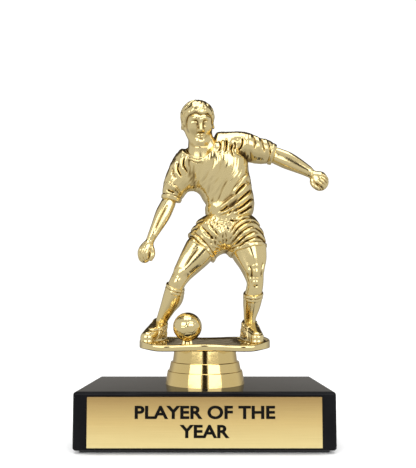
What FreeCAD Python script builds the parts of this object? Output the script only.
import FreeCAD, Part
import math
import os

import Sketcher
from FreeCAD import Placement, Rotation, Vector

# A figure trophy: a player bends over a ball on a slab of turf, which stands on a stepped riser
# bolted to a block. Millimetres. The origin is the centre of the block's underside, +Z is up,
# the nameplate faces -Y, and +X is to the right of somebody who reads the nameplate.

doc = FreeCAD.newDocument("figure_trophy")

# ---------------------------------------------------------------------------------------------
# Driving dimensions
# ---------------------------------------------------------------------------------------------
DIMENSIONS = {
    # block, felt and nameplate
    "base_width": 127.0,
    "base_depth": 60.0,
    "base_rise": 28.1,
    "base_edge": 1.6,
    "felt_thick": 1.2,
    "felt_inset": 3.0,
    "plate_width": 112.2,
    "plate_rise": 24.0,
    "plate_thick": 0.8,
    "plate_lift": 3.1,
    "tape_thick": 0.5,
    "tape_inset": 2.0,
    # tie rod and its hardware, 1/4-20
    "rod_radius": 3.175,
    "rod_pitch": 1.27,
    "rod_start": 3.4,
    "rod_span": 41.4,
    "thread_deep": 0.6,
    "rod_hole": 3.6,
    "sink_radius": 12.0,
    "sink_deep": 12.0,
    "nut_bore": 3.225,
    "nut_flats": 11.1,
    "nut_rise": 5.6,
    "washer_radius": 9.5,
    "washer_thick": 1.6,
    # riser, three steps from the bottom up
    "stack_shift": 2.5,
    "step_one_foot": 21.6,
    "step_one_top": 20.4,
    "step_one_rise": 7.0,
    "step_two_foot": 19.7,
    "step_two_top": 18.65,
    "step_two_rise": 4.8,
    "step_three_foot": 17.65,
    "step_three_top": 16.9,
    "step_three_rise": 6.3,
    "step_round": 0.45,
    "riser_wall": 1.9,
    "boss_radius": 8.2,
    "spigot_radius": 5.45,
    "spigot_deep": 2.0,
    "fit_gap": 0.05,
    # turf slab and ball, from the axis of the stack
    "turf_front": 3.0,
    "turf_climb": 0.08,
    "ball_radius": 7.7,
    "ball_x": -9.2,
    "ball_y": -11.0,
    "ball_lift": 9.6,
    "ball_stem": 2.4,
    "peg_radius": 1.5,
    "peg_deep": 2.0,
    # player
    "shell_wall": 1.8,
    "pin_radius": 1.0,
    "pin_span": 3.0,
}

sheet = doc.addObject("Spreadsheet::Sheet", "Dimensions")
for row, (alias, value) in enumerate(DIMENSIONS.items(), start=1):
    sheet.set(f"A{row}", alias)
    sheet.set(f"B{row}", str(value))
    sheet.setAlias(f"B{row}", alias)
doc.recompute()


def size(alias):
    """A driving dimension, read back from the sheet."""
    return float(sheet.get(alias))


def cell(expression):
    """Turns bare aliases written as <alias> into references to the sheet."""
    return expression.replace("<", "Dimensions.").replace(">", "")


# Levels of the stack, worked out from the sheet
BLOCK_TOP = size("felt_thick") + size("base_rise")
RISER_RISE = size("step_one_rise") + size("step_two_rise") + size("step_three_rise")
RISER_TOP = BLOCK_TOP + RISER_RISE
TURF_TOP = RISER_TOP + size("turf_front")
SHIFT = size("stack_shift")
parts = []


# ---------------------------------------------------------------------------------------------
# Helpers
# ---------------------------------------------------------------------------------------------
def new_body(label):
    body = doc.addObject("PartDesign::Body", label)
    body.Label = label
    parts.append(body)
    return body


def new_shape(label, shape, place=Vector()):
    """A sub-part whose shape is set directly and then placed."""
    feature = doc.addObject("Part::Feature", label)
    feature.Label = label
    feature.Shape = shape
    feature.Placement = Placement(place, Rotation())
    parts.append(feature)
    return feature


def plane_sketch(body, role, name, lift="0"):
    """A sketch on one of the body's own origin planes, lifted along the plane's normal."""
    plane = [item for item in body.Origin.OriginFeatures if item.Role == role][0]
    sketch = body.newObject("Sketcher::SketchObject", name)
    sketch.AttachmentSupport = [(plane, "")]
    sketch.MapMode = "FlatFace"
    sketch.setExpression(".AttachmentOffset.Base.z", cell(lift))
    return sketch


def name_datum(sketch, constraint, expression):
    """Adds a dimension and binds it to the sheet."""
    index = sketch.addConstraint(constraint)
    sketch.setExpression(f"Constraints[{index}]", cell(expression))


def rectangle(sketch, width, height):
    """A rectangle centred on the sketch's origin, with both sides bound."""
    corners = [Vector(-9, -5, 0), Vector(9, -5, 0), Vector(9, 5, 0), Vector(-9, 5, 0)]
    for index in range(4):
        sketch.addGeometry(Part.LineSegment(corners[index], corners[(index + 1) % 4]), False)
    for index in range(4):
        sketch.addConstraint(Sketcher.Constraint("Coincident", index, 2, (index + 1) % 4, 1))
    for index in (0, 2):
        sketch.addConstraint(Sketcher.Constraint("Horizontal", index))
        sketch.addConstraint(Sketcher.Constraint("Vertical", index + 1))
    sketch.addConstraint(Sketcher.Constraint("Symmetric", 0, 1, 2, 1, -1, 1))
    name_datum(sketch, Sketcher.Constraint("DistanceX", 0, 1, 0, 2, 18.0), width)
    name_datum(sketch, Sketcher.Constraint("DistanceY", 1, 1, 1, 2, 10.0), height)


def circle(sketch, radius):
    """A circle on the sketch's origin, with its radius bound."""
    index = sketch.addGeometry(Part.Circle(Vector(), Vector(0, 0, 1), 2.0), False)
    sketch.addConstraint(Sketcher.Constraint("Coincident", index, 3, -1, 1))
    name_datum(sketch, Sketcher.Constraint("Radius", index, 2.0), radius)


def hexagon(sketch, flats):
    """A hexagon on the sketch's origin, sized across its flats."""
    reach = size("nut_flats") / math.sqrt(3.0)
    corners = [Vector(reach * math.cos(math.radians(60 * k)), reach * math.sin(math.radians(60 * k)), 0)
               for k in range(6)]
    for index in range(6):
        sketch.addGeometry(Part.LineSegment(corners[index], corners[(index + 1) % 6]), False)
    for index in range(6):
        sketch.addConstraint(Sketcher.Constraint("Coincident", index, 2, (index + 1) % 6, 1))
    guide = sketch.addGeometry(Part.Circle(Vector(), Vector(0, 0, 1), reach), True)
    sketch.addConstraint(Sketcher.Constraint("Coincident", guide, 3, -1, 1))
    for index in range(6):
        sketch.addConstraint(Sketcher.Constraint("PointOnObject", index, 1, guide))
    for index in range(5):
        sketch.addConstraint(Sketcher.Constraint("Equal", index, index + 1))
    sketch.addConstraint(Sketcher.Constraint("PointOnObject", 0, 1, -1))
    name_datum(sketch, Sketcher.Constraint("Radius", guide, reach), f"({flats}) / sqrt(3)")


def pad(body, sketch, name, length):
    feature = body.newObject("PartDesign::Pad", name)
    feature.Profile = sketch
    feature.setExpression("Length", cell(length))
    return feature


def pocket(body, sketch, name, length, up=False):
    """Cuts below the sketch, or above it with up, and checks that something was removed."""
    doc.recompute()
    before = body.Shape.Volume
    feature = body.newObject("PartDesign::Pocket", name)
    feature.Profile = sketch
    feature.setExpression("Length", cell(length))
    feature.Reversed = up
    doc.recompute()
    if body.Shape.Volume > before - 0.1:
        raise RuntimeError(f"{name} cuts nothing from {body.Label}")
    return feature


def dress(body, kind, name, edges, amount):
    """A fillet or chamfer on the named edges of the body's tip."""
    base = body.Tip
    feature = body.newObject(f"PartDesign::{kind}", name)
    feature.Base = (base, edges)
    prop = "Radius" if kind == "Fillet" else "Size"
    feature.setExpression(prop, cell(amount))
    doc.recompute()
    return feature


def edges_where(body, test):
    """Names of the edges of the body's tip whose middle passes the test."""
    names = []
    for index, edge in enumerate(body.Tip.Shape.Edges, start=1):
        middle = edge.valueAt((edge.FirstParameter + edge.LastParameter) / 2.0)
        if test(edge, middle):
            names.append(f"Edge{index}")
    return names


def place(body, x="0", y="0", z="0"):
    """Binds the body's position to the sheet."""
    for axis, expression in (("x", x), ("y", y), ("z", z)):
        body.setExpression(f".Placement.Base.{axis}", cell(expression))


# ---------------------------------------------------------------------------------------------
# Block, felt, nameplate and tape
# ---------------------------------------------------------------------------------------------
BLOCK_TOP_CELL = "<felt_thick> + <base_rise>"


def make_base_block():
    body = new_body("base_block")
    outline = plane_sketch(body, "XY_Plane", "block_outline")
    rectangle(outline, "<base_width>", "<base_depth>")
    pad(body, outline, "block_pad", "<base_rise>")
    doc.recompute()
    dress(body, "Fillet", "block_edges", edges_where(body, lambda edge, middle: True), "<base_edge>")
    sink = plane_sketch(body, "XY_Plane", "counterbore_outline")
    circle(sink, "<sink_radius>")
    sink.setExpression(".AttachmentOffset.Base.y", cell("<stack_shift>"))
    pocket(body, sink, "counterbore", "<sink_deep>", up=True)
    hole = plane_sketch(body, "XY_Plane", "rod_hole_outline")
    circle(hole, "<rod_hole>")
    hole.setExpression(".AttachmentOffset.Base.y", cell("<stack_shift>"))
    pocket(body, hole, "rod_hole_cut", "<base_rise>", up=True)
    place(body, z="<felt_thick>")


def make_base_felt_pad():
    body = new_body("base_felt_pad")
    outline = plane_sketch(body, "XY_Plane", "felt_outline")
    rectangle(outline, "<base_width> - 2 * <felt_inset>", "<base_depth> - 2 * <felt_inset>")
    pad(body, outline, "felt_pad", "<felt_thick>")


def make_nameplate():
    """The plate stands on edge: its sketch lies on the XZ plane, which faces -Y."""
    body = new_body("nameplate")
    outline = plane_sketch(body, "XZ_Plane", "nameplate_outline")
    rectangle(outline, "<plate_width>", "<plate_rise>")
    pad(body, outline, "nameplate_pad", "<plate_thick>")
    place(body, y="-<base_depth> / 2 - <tape_thick>", z="<plate_lift> + <plate_rise> / 2")


def make_nameplate_tape():
    body = new_body("nameplate_tape")
    outline = plane_sketch(body, "XZ_Plane", "tape_outline")
    rectangle(outline, "<plate_width> - 2 * <tape_inset>", "<plate_rise> - 2 * <tape_inset>")
    pad(body, outline, "tape_pad", "<tape_thick>")
    place(body, y="-<base_depth> / 2", z="<plate_lift> + <plate_rise> / 2")


# ---------------------------------------------------------------------------------------------
# Tie rod, nuts and washer
# ---------------------------------------------------------------------------------------------
def make_threaded_rod():
    """A round bar whose thread is a row of V grooves, one to a pitch."""
    body = new_body("threaded_rod")
    outline = plane_sketch(body, "XY_Plane", "rod_outline")
    circle(outline, "<rod_radius>")
    pad(body, outline, "rod_pad", "<rod_span>")
    doc.recompute()
    whole = body.Shape.Volume
    vee = plane_sketch(body, "XZ_Plane", "thread_outline")
    outer = size("rod_radius") + 0.1
    inner = size("rod_radius") - size("thread_deep")
    half = 0.44 * size("rod_pitch")
    middle = size("rod_pitch")
    corners = [Vector(outer, middle - half, 0), Vector(outer, middle + half, 0), Vector(inner, middle, 0)]
    for index in range(3):
        vee.addGeometry(Part.LineSegment(corners[index], corners[(index + 1) % 3]), False)
    for index in range(3):
        vee.addConstraint(Sketcher.Constraint("Coincident", index, 2, (index + 1) % 3, 1))
    vee.addConstraint(Sketcher.Constraint("Vertical", 0))
    name_datum(vee, Sketcher.Constraint("DistanceX", -1, 1, 0, 1, outer), "<rod_radius> + 0.1")
    name_datum(vee, Sketcher.Constraint("DistanceY", 0, 1, 0, 2, 2 * half), "0.88 * <rod_pitch>")
    name_datum(vee, Sketcher.Constraint("DistanceX", -1, 1, 2, 1, inner), "<rod_radius> - <thread_deep>")
    name_datum(vee, Sketcher.Constraint("DistanceY", -1, 1, 2, 1, middle), "<rod_pitch>")
    name_datum(vee, Sketcher.Constraint("DistanceY", -1, 1, 0, 1, middle - half), "0.56 * <rod_pitch>")
    groove = body.newObject("PartDesign::Groove", "thread_groove")
    groove.Profile = vee
    groove.ReferenceAxis = (vee, ["V_Axis"])
    groove.Angle = 360.0
    doc.recompute()
    if body.Shape.Volume > whole - 0.1:
        raise RuntimeError("the thread groove cuts nothing")
    count = int(size("rod_span") / size("rod_pitch")) - 1
    row = body.newObject("PartDesign::LinearPattern", "thread_row")
    row.Originals = [groove]
    row.Direction = (outline, ["N_Axis"])
    row.Length = (count - 1) * size("rod_pitch")
    row.Occurrences = count
    body.Tip = row
    doc.recompute()
    place(body, y="<stack_shift>", z="<rod_start>")


def make_nut(label, lift):
    body = new_body(label)
    outline = plane_sketch(body, "XY_Plane", f"{label}_outline")
    hexagon(outline, "<nut_flats>")
    pad(body, outline, f"{label}_pad", "<nut_rise>")
    hole = plane_sketch(body, "XY_Plane", f"{label}_bore_outline")
    circle(hole, "<nut_bore>")
    pocket(body, hole, f"{label}_bore", "<nut_rise>", up=True)
    place(body, y="<stack_shift>", z=lift)


def make_base_washer():
    body = new_body("base_washer")
    outline = plane_sketch(body, "XY_Plane", "washer_outline")
    circle(outline, "<washer_radius>")
    pad(body, outline, "washer_pad", "<washer_thick>")
    hole = plane_sketch(body, "XY_Plane", "washer_bore_outline")
    circle(hole, "<rod_hole>")
    pocket(body, hole, "washer_bore", "<washer_thick>", up=True)
    place(body, y="<stack_shift>", z="<felt_thick> + <sink_deep> - <washer_thick>")


# ---------------------------------------------------------------------------------------------
# Riser
# ---------------------------------------------------------------------------------------------
def riser_outline():
    """Half section of the riser in the XZ plane, from the foot of the boss round the outside."""
    wall = size("riser_wall")
    level_one = size("step_one_rise")
    level_two = level_one + size("step_two_rise")
    return [
        Vector(size("boss_radius"), 0, 0),
        Vector(size("boss_radius"), 0, RISER_RISE - wall),
        Vector(size("step_three_top") - wall, 0, RISER_RISE - wall),
        Vector(size("step_three_foot") - wall, 0, level_two - wall),
        Vector(size("step_two_foot") - wall, 0, level_one - wall),
        Vector(size("step_one_foot") - wall, 0, 0),
        Vector(size("step_one_foot"), 0, 0),
        Vector(size("step_one_top"), 0, level_one),
        Vector(size("step_two_foot"), 0, level_one),
        Vector(size("step_two_top"), 0, level_two),
        Vector(size("step_three_foot"), 0, level_two),
        Vector(size("step_three_top"), 0, RISER_RISE),
        Vector(0, 0, RISER_RISE),
        Vector(0, 0, 0),
    ]


def hex_prism(flats, rise, lift):
    """A hexagonal prism on the Z axis, sized across its flats."""
    reach = flats / math.sqrt(3.0)
    turns = [math.radians(60 * k) for k in range(7)]
    ring = [Vector(reach * math.cos(turn), reach * math.sin(turn), lift) for turn in turns]
    return Part.Face(Part.makePolygon(ring)).extrude(Vector(0, 0, rise))


def make_riser():
    """A turned shell with rounded steps. Its boss has a hexagonal pocket, open at the top, for the nut."""
    points = riser_outline()
    profile = Part.Face(Part.makePolygon(points + points[:1]))
    riser = profile.revolve(Vector(), Vector(0, 0, 1), 360)
    lip_radii = [size("step_one_top"), size("step_two_top")]
    lips = [edge for edge in riser.Edges if isinstance(edge.Curve, Part.Circle)
            and min(abs(edge.Curve.Radius - radius) for radius in lip_radii) < 0.01]
    riser = riser.makeFillet(size("step_round"), lips)
    gap = size("fit_gap")
    floor = RISER_RISE - size("spigot_deep") - size("nut_rise")
    riser = riser.cut(Part.makeCylinder(size("rod_radius") + gap, RISER_RISE))
    riser = riser.cut(hex_prism(size("nut_flats") + 2 * gap, RISER_RISE, floor))
    new_shape("riser", riser, Vector(0, SHIFT, BLOCK_TOP))


# ---------------------------------------------------------------------------------------------
# Turf slab and ball, in millimetres from the axis of the stack
# ---------------------------------------------------------------------------------------------
TURF_OUTLINE = [
    (-35.0, -3.0), (-32.5, -14.0), (-25.0, -20.5), (-16.0, -20.0), (-8.0, -17.2), (0.0, -15.5),
    (8.0, -17.2), (16.0, -20.4), (25.0, -20.8), (32.5, -13.5), (34.8, -2.5),
    (32.5, 9.0), (25.0, 15.5), (16.0, 16.5), (8.0, 14.5), (0.0, 13.2),
    (-8.0, 14.5), (-16.0, 16.5), (-25.0, 15.5), (-32.5, 9.0),
]
TURF_RIM = -20.8
SEAT_GAP = 0.02
PEG_SPOTS = [(-26.5, -3.0), (24.6, -1.5)]


def turf_level(y):
    """How far the slab's top stands above its front rim."""
    return size("turf_climb") * (y - TURF_RIM)


def slope_block(low, high):
    """A wide block between two levels over the slab, both sloping with its top."""
    reach = 60.0
    corners = [Vector(-reach, -reach, turf_level(-reach) + low), Vector(-reach, reach, turf_level(reach) + low),
               Vector(-reach, reach, turf_level(reach) + high),
               Vector(-reach, -reach, turf_level(-reach) + high)]
    return Part.Face(Part.makePolygon(corners + corners[:1])).extrude(Vector(2 * reach, 0, 0))


def make_ground_plate():
    """Two lobes, one under each boot, joined by a waist. The top climbs gently to the back."""
    curve = Part.BSplineCurve()
    curve.interpolate([Vector(x, y, 0) for x, y in TURF_OUTLINE], PeriodicFlag=True)
    slab = Part.Face(Part.Wire(curve.toShape())).extrude(Vector(0, 0, 3 * size("turf_front")))
    slab = slab.cut(slope_block(size("turf_front"), 4 * size("turf_front")))
    slab = slab.fuse(Part.makeCylinder(size("spigot_radius"), size("spigot_deep"),
                                       Vector(0, 0, -size("spigot_deep"))))
    gap = size("fit_gap")
    for x, y in PEG_SPOTS + [(size("ball_x"), size("ball_y"))]:
        floor = size("turf_front") + turf_level(y) - size("peg_deep") - gap
        slab = slab.cut(Part.makeCylinder(size("peg_radius") + gap, 10.0, Vector(x, y, floor)))
    new_shape("ground_plate", slab, Vector(0, SHIFT, RISER_TOP))


def peg(x, y, top):
    """A peg whose foot stands in the slab's socket at that spot."""
    foot = turf_level(y) - size("peg_deep")
    return Part.makeCylinder(size("peg_radius"), top - foot, Vector(x, y, foot))


def make_ball():
    """A sphere on a short stem that stands on the turf, with a peg into the slab."""
    x = size("ball_x")
    y = size("ball_y")
    lift = size("ball_lift")
    ball = Part.makeSphere(size("ball_radius"), Vector(x, y, lift))
    stem = Part.makeCylinder(size("ball_stem"), lift, Vector(x, y, 0))
    ball = ball.fuse(stem.cut(slope_block(-20.0, SEAT_GAP)))
    new_shape("ball", ball.fuse(peg(x, y, lift)), Vector(0, SHIFT, TURF_TOP))


# ---------------------------------------------------------------------------------------------
# Player, in millimetres from the stack's axis at the level of the turf's front rim.
# A section is (x, y, z, half width, half depth). Left and right are the player's own.
# ---------------------------------------------------------------------------------------------
TORSO = [
    (13.6, 1.0, 68.0, 13.5, 11.0), (13.7, 1.0, 75.0, 13.5, 10.5), (12.6, 0.3, 83.0, 15.0, 11.0),
    (9.4, -0.8, 92.0, 17.2, 11.8), (6.0, -2.0, 101.0, 17.6, 11.2), (3.2, -2.6, 107.0, 13.0, 8.5),
    (1.0, -3.2, 110.5, 7.0, 6.5),
]
SHORTS = [
    (13.9, 1.0, 74.0, 12.0, 9.8), (13.0, 1.0, 68.5, 15.6, 11.6), (12.2, 1.0, 62.0, 19.2, 12.6),
    (12.0, 0.6, 55.0, 20.0, 12.0),
]
LEGS = {
    "right": [(2.6, 1.0, 60.5, 10.5, 11.0), (-2.8, -0.6, 53.5, 9.6, 10.4), (-8.3, -2.8, 46.0, 6.9, 7.6),
              (-13.4, -5.3, 37.8, 4.5, 5.4), (-15.8, -4.9, 32.0, 4.7, 5.2), (-18.4, -2.8, 26.0, 5.2, 5.6),
              (-21.5, -0.8, 20.0, 4.3, 4.8), (-24.6, 1.2, 12.0, 3.3, 3.8), (-25.0, 1.4, 8.0, 3.6, 4.2)],
    "left": [(21.4, 1.0, 61.0, 10.6, 11.2), (23.6, 0.0, 53.5, 9.8, 10.4), (25.8, -2.4, 44.0, 7.2, 7.9),
             (26.9, -5.0, 36.0, 5.2, 5.8), (26.6, -5.0, 30.0, 4.9, 5.3), (26.0, -3.0, 24.0, 5.4, 5.8),
             (25.2, -0.6, 17.5, 4.0, 4.6), (25.0, 1.2, 11.0, 3.3, 3.8), (25.0, 1.4, 8.0, 3.6, 4.2)],
}
BOOTS = {
    "right": [(-22.3, 6.8, 3.6, 2.6, 3.0), (-23.6, 3.0, 4.6, 3.9, 4.8), (-26.0, -2.5, 3.6, 4.1, 4.2),
              (-28.8, -8.6, 2.2, 4.1, 3.3), (-31.0, -13.2, 1.4, 2.8, 2.2)],
    "left": [(23.0, 8.2, 3.6, 2.6, 3.0), (24.0, 4.0, 4.6, 3.9, 4.8), (25.3, -1.5, 3.8, 4.1, 4.2),
             (26.6, -8.0, 2.4, 4.2, 3.3), (27.4, -13.0, 1.6, 2.9, 2.2)],
}
ARMS = {
    "right": [(-5.5, -2.4, 102.6, 6.0, 6.4), (-10.5, -2.2, 100.5, 6.6, 7.2), (-15.4, -1.2, 94.0, 6.4, 6.9),
              (-18.2, -0.5, 86.5, 6.0, 6.3), (-19.4, 0.0, 79.5, 5.0, 5.4), (-20.7, -0.2, 77.0, 3.7, 3.9),
              (-23.4, -1.0, 71.0, 3.7, 3.8), (-26.6, -3.0, 62.5, 2.9, 3.1), (-30.0, -4.4, 55.4, 2.6, 3.0),
              (-31.0, -5.2, 52.0, 3.2, 2.6)],
    "left": [(13.0, -2.6, 106.0, 7.4, 7.2), (21.0, -2.0, 108.6, 7.3, 7.4), (28.0, -0.8, 108.4, 7.2, 7.0),
             (34.5, 0.0, 107.4, 6.6, 6.2), (38.8, 0.0, 106.0, 4.6, 4.6), (41.5, -0.2, 104.8, 3.8, 4.0),
             (46.0, -1.0, 102.0, 4.0, 3.9), (52.6, -2.6, 97.6, 3.4, 3.3), (58.8, -4.0, 92.6, 2.7, 3.0),
             (61.5, -4.4, 90.4, 3.8, 3.2)],
}
# Ellipsoids: centre, half sizes and lean about the Y axis in degrees
HEAD = ((-3.6, -7.6, 121.0), (9.3, 10.8, 13.2), -4.0)
NECK = [(0.2, -2.6, 103.0, 7.4, 7.6), (-1.4, -4.4, 108.5, 6.0, 6.6), (-2.4, -6.2, 114.0, 5.8, 6.4)]
NOSE = ((-3.3, -17.6, 119.2), (1.5, 2.2, 2.7), -4.0)
EARS = [((-13.0, -6.6, 119.6), (1.0, 1.9, 3.1), -4.0), ((5.8, -6.6, 118.4), (1.0, 1.9, 3.1), -4.0)]
FISTS = [((-31.9, -5.5, 49.6), (5.0, 4.4, 6.3), 12.0), ((63.0, -5.0, 89.2), (5.1, 4.3, 5.9), -40.0)]

# Parting surface of the two halves: (level, y), from below the turf to above the head
PARTING = [(-9.0, 5.0), (8.0, 5.0), (14.0, 1.0), (34.0, -4.5), (44.0, 0.0), (60.0, 0.5), (96.0, 0.2),
           (112.0, -5.0), (140.0, -7.5)]
# Where the shells' locating pins cross the parting surface, in solid flesh
PIN_SPOTS = [(-8.6, 45.5), (25.8, 43.5), (-3.6, 121.0)]
RING_POINTS = 12


def section_wire(centre, along, half_width, half_depth):
    """A closed oval across the direction that the limb runs in. Its depth lies near the Y axis."""
    across = along.cross(Vector(0, 1, 0)).normalize()
    deep = along.cross(across).normalize()
    points = []
    for index in range(RING_POINTS):
        turn = 2 * math.pi * index / RING_POINTS
        points.append(centre + across * (half_width * math.cos(turn)) + deep * (half_depth * math.sin(turn)))
    curve = Part.BSplineCurve()
    curve.interpolate(points, PeriodicFlag=True)
    return Part.Wire(curve.toShape())


def limb(sections, inset=0.0):
    """A smooth loft through the sections, each square to the line between its neighbours."""
    centres = [Vector(x, y, z) for x, y, z, wide, deep in sections]
    wires = []
    for index, (x, y, z, wide, deep) in enumerate(sections):
        before = centres[max(index - 1, 0)]
        after = centres[min(index + 1, len(centres) - 1)]
        along = (after - before).normalize()
        wires.append(section_wire(centres[index], along, wide - inset, deep - inset))
    return Part.makeLoft(wires, True, False)


def foot(sections):
    """A loft along the boot, whose sections stand upright and face along it."""
    heel = Vector(*sections[0][:3])
    toe = Vector(*sections[-1][:3])
    along = Vector(toe.x - heel.x, toe.y - heel.y, 0).normalize()
    across = Vector(-along.y, along.x, 0)
    wires = []
    for x, y, z, wide, tall in sections:
        points = []
        for index in range(RING_POINTS):
            turn = 2 * math.pi * index / RING_POINTS
            points.append(Vector(x, y, z) + across * (wide * math.cos(turn))
                          + Vector(0, 0, tall * math.sin(turn)))
        curve = Part.BSplineCurve()
        curve.interpolate(points, PeriodicFlag=True)
        wires.append(Part.Wire(curve.toShape()))
    return Part.makeLoft(wires, True, False)


def ellipsoid(centre, halves, lean):
    """A ball stretched along X, Y and Z, leaned about the Y axis, then moved to its centre."""
    stretch = FreeCAD.Matrix()
    stretch.scale(Vector(*halves))
    blob = Part.makeSphere(1.0).transformGeometry(stretch)
    blob.Placement = Placement(Vector(*centre), Rotation(Vector(0, 1, 0), lean))
    return blob


def half_space(front):
    """A block on one side of the parting surface."""
    reach = 80.0
    face_y = -reach if front else reach
    line = [Vector(-reach, y, level) for level, y in PARTING]
    corners = line + [Vector(-reach, face_y, PARTING[-1][0]), Vector(-reach, face_y, PARTING[0][0])]
    return Part.Face(Part.makePolygon(corners + corners[:1])).extrude(Vector(2 * reach, 0, 0))


def parting_y(level):
    """Where the parting surface lies at a level."""
    for (low, low_y), (high, high_y) in zip(PARTING, PARTING[1:]):
        if low <= level <= high:
            return low_y + (high_y - low_y) * (level - low) / (high - low)
    raise ValueError("the level is off the parting surface")


def make_figure():
    """The player's outer form, hollowed in the trunk and split into a front and a back shell."""
    forms = [limb(NECK), ellipsoid(*HEAD), ellipsoid(*NOSE)]
    forms += [ellipsoid(*blob) for blob in EARS]
    forms += [limb(sections) for sections in (*ARMS.values(), SHORTS, *LEGS.values())]
    forms += [foot(sections) for sections in BOOTS.values()]
    forms += [ellipsoid(*blob) for blob in FISTS]
    player = limb(TORSO)
    for form in forms:
        player = player.fuse(form)
        if not player.isValid() or len(player.Solids) != 1:
            raise RuntimeError("the player's forms don't join into one solid")
    player = player.cut(slope_block(-20.0, SEAT_GAP))
    cavity = limb(TORSO[1:-1], size("shell_wall")).fuse(limb(SHORTS[1:], size("shell_wall")))
    shell = player.cut(cavity)
    back = shell.common(half_space(front=False))
    front = shell.common(half_space(front=True))
    for x, y in PEG_SPOTS:
        front = front.fuse(peg(x, y, 5.0))
    for x, level in PIN_SPOTS:
        y = parting_y(level) - size("pin_span")
        pin = Part.makeCylinder(size("pin_radius"), 2 * size("pin_span"), Vector(x, y, level), Vector(0, 1, 0))
        hole = Part.makeCylinder(size("pin_radius") + size("fit_gap"), 2 * size("pin_span") + 0.2,
                                 Vector(x, y, level), Vector(0, 1, 0))
        front = front.fuse(pin)
        back = back.cut(hole)
    origin = Vector(0, SHIFT, TURF_TOP)
    new_shape("figure_front_shell", front, origin)
    new_shape("figure_back_shell", back, origin)


# ---------------------------------------------------------------------------------------------
# Build, check and write
# ---------------------------------------------------------------------------------------------
make_base_block()
make_base_felt_pad()
make_nameplate_tape()
make_nameplate()
make_threaded_rod()
make_base_washer()
make_nut("base_nut", "<felt_thick> + <sink_deep> - <washer_thick> - <nut_rise>")
make_nut("riser_nut", BLOCK_TOP_CELL + " + <step_one_rise> + <step_two_rise> + <step_three_rise>"
         " - <spigot_deep> - <nut_rise>")
make_riser()
make_ground_plate()
make_ball()
make_figure()
doc.recompute()

for item in doc.Objects:
    if "Invalid" in item.State or "Error" in item.State:
        raise RuntimeError(f"{item.Name} failed: {item.State}")
for part in parts:
    if part.Shape.isNull() or not part.Shape.isValid():
        raise RuntimeError(f"{part.Label} has no valid shape")

os.makedirs("parts", exist_ok=True)
for part in parts:
    part.Shape.exportStep(f"parts/{part.Label}.step")
    box = part.Shape.BoundBox
    print(f"{part.Label}: {len(part.Shape.Solids)} solid, {part.Shape.Volume:.1f} mm3, "
          f"x {box.XMin:.1f}..{box.XMax:.1f}, y {box.YMin:.1f}..{box.YMax:.1f}, "
          f"z {box.ZMin:.1f}..{box.ZMax:.1f}")
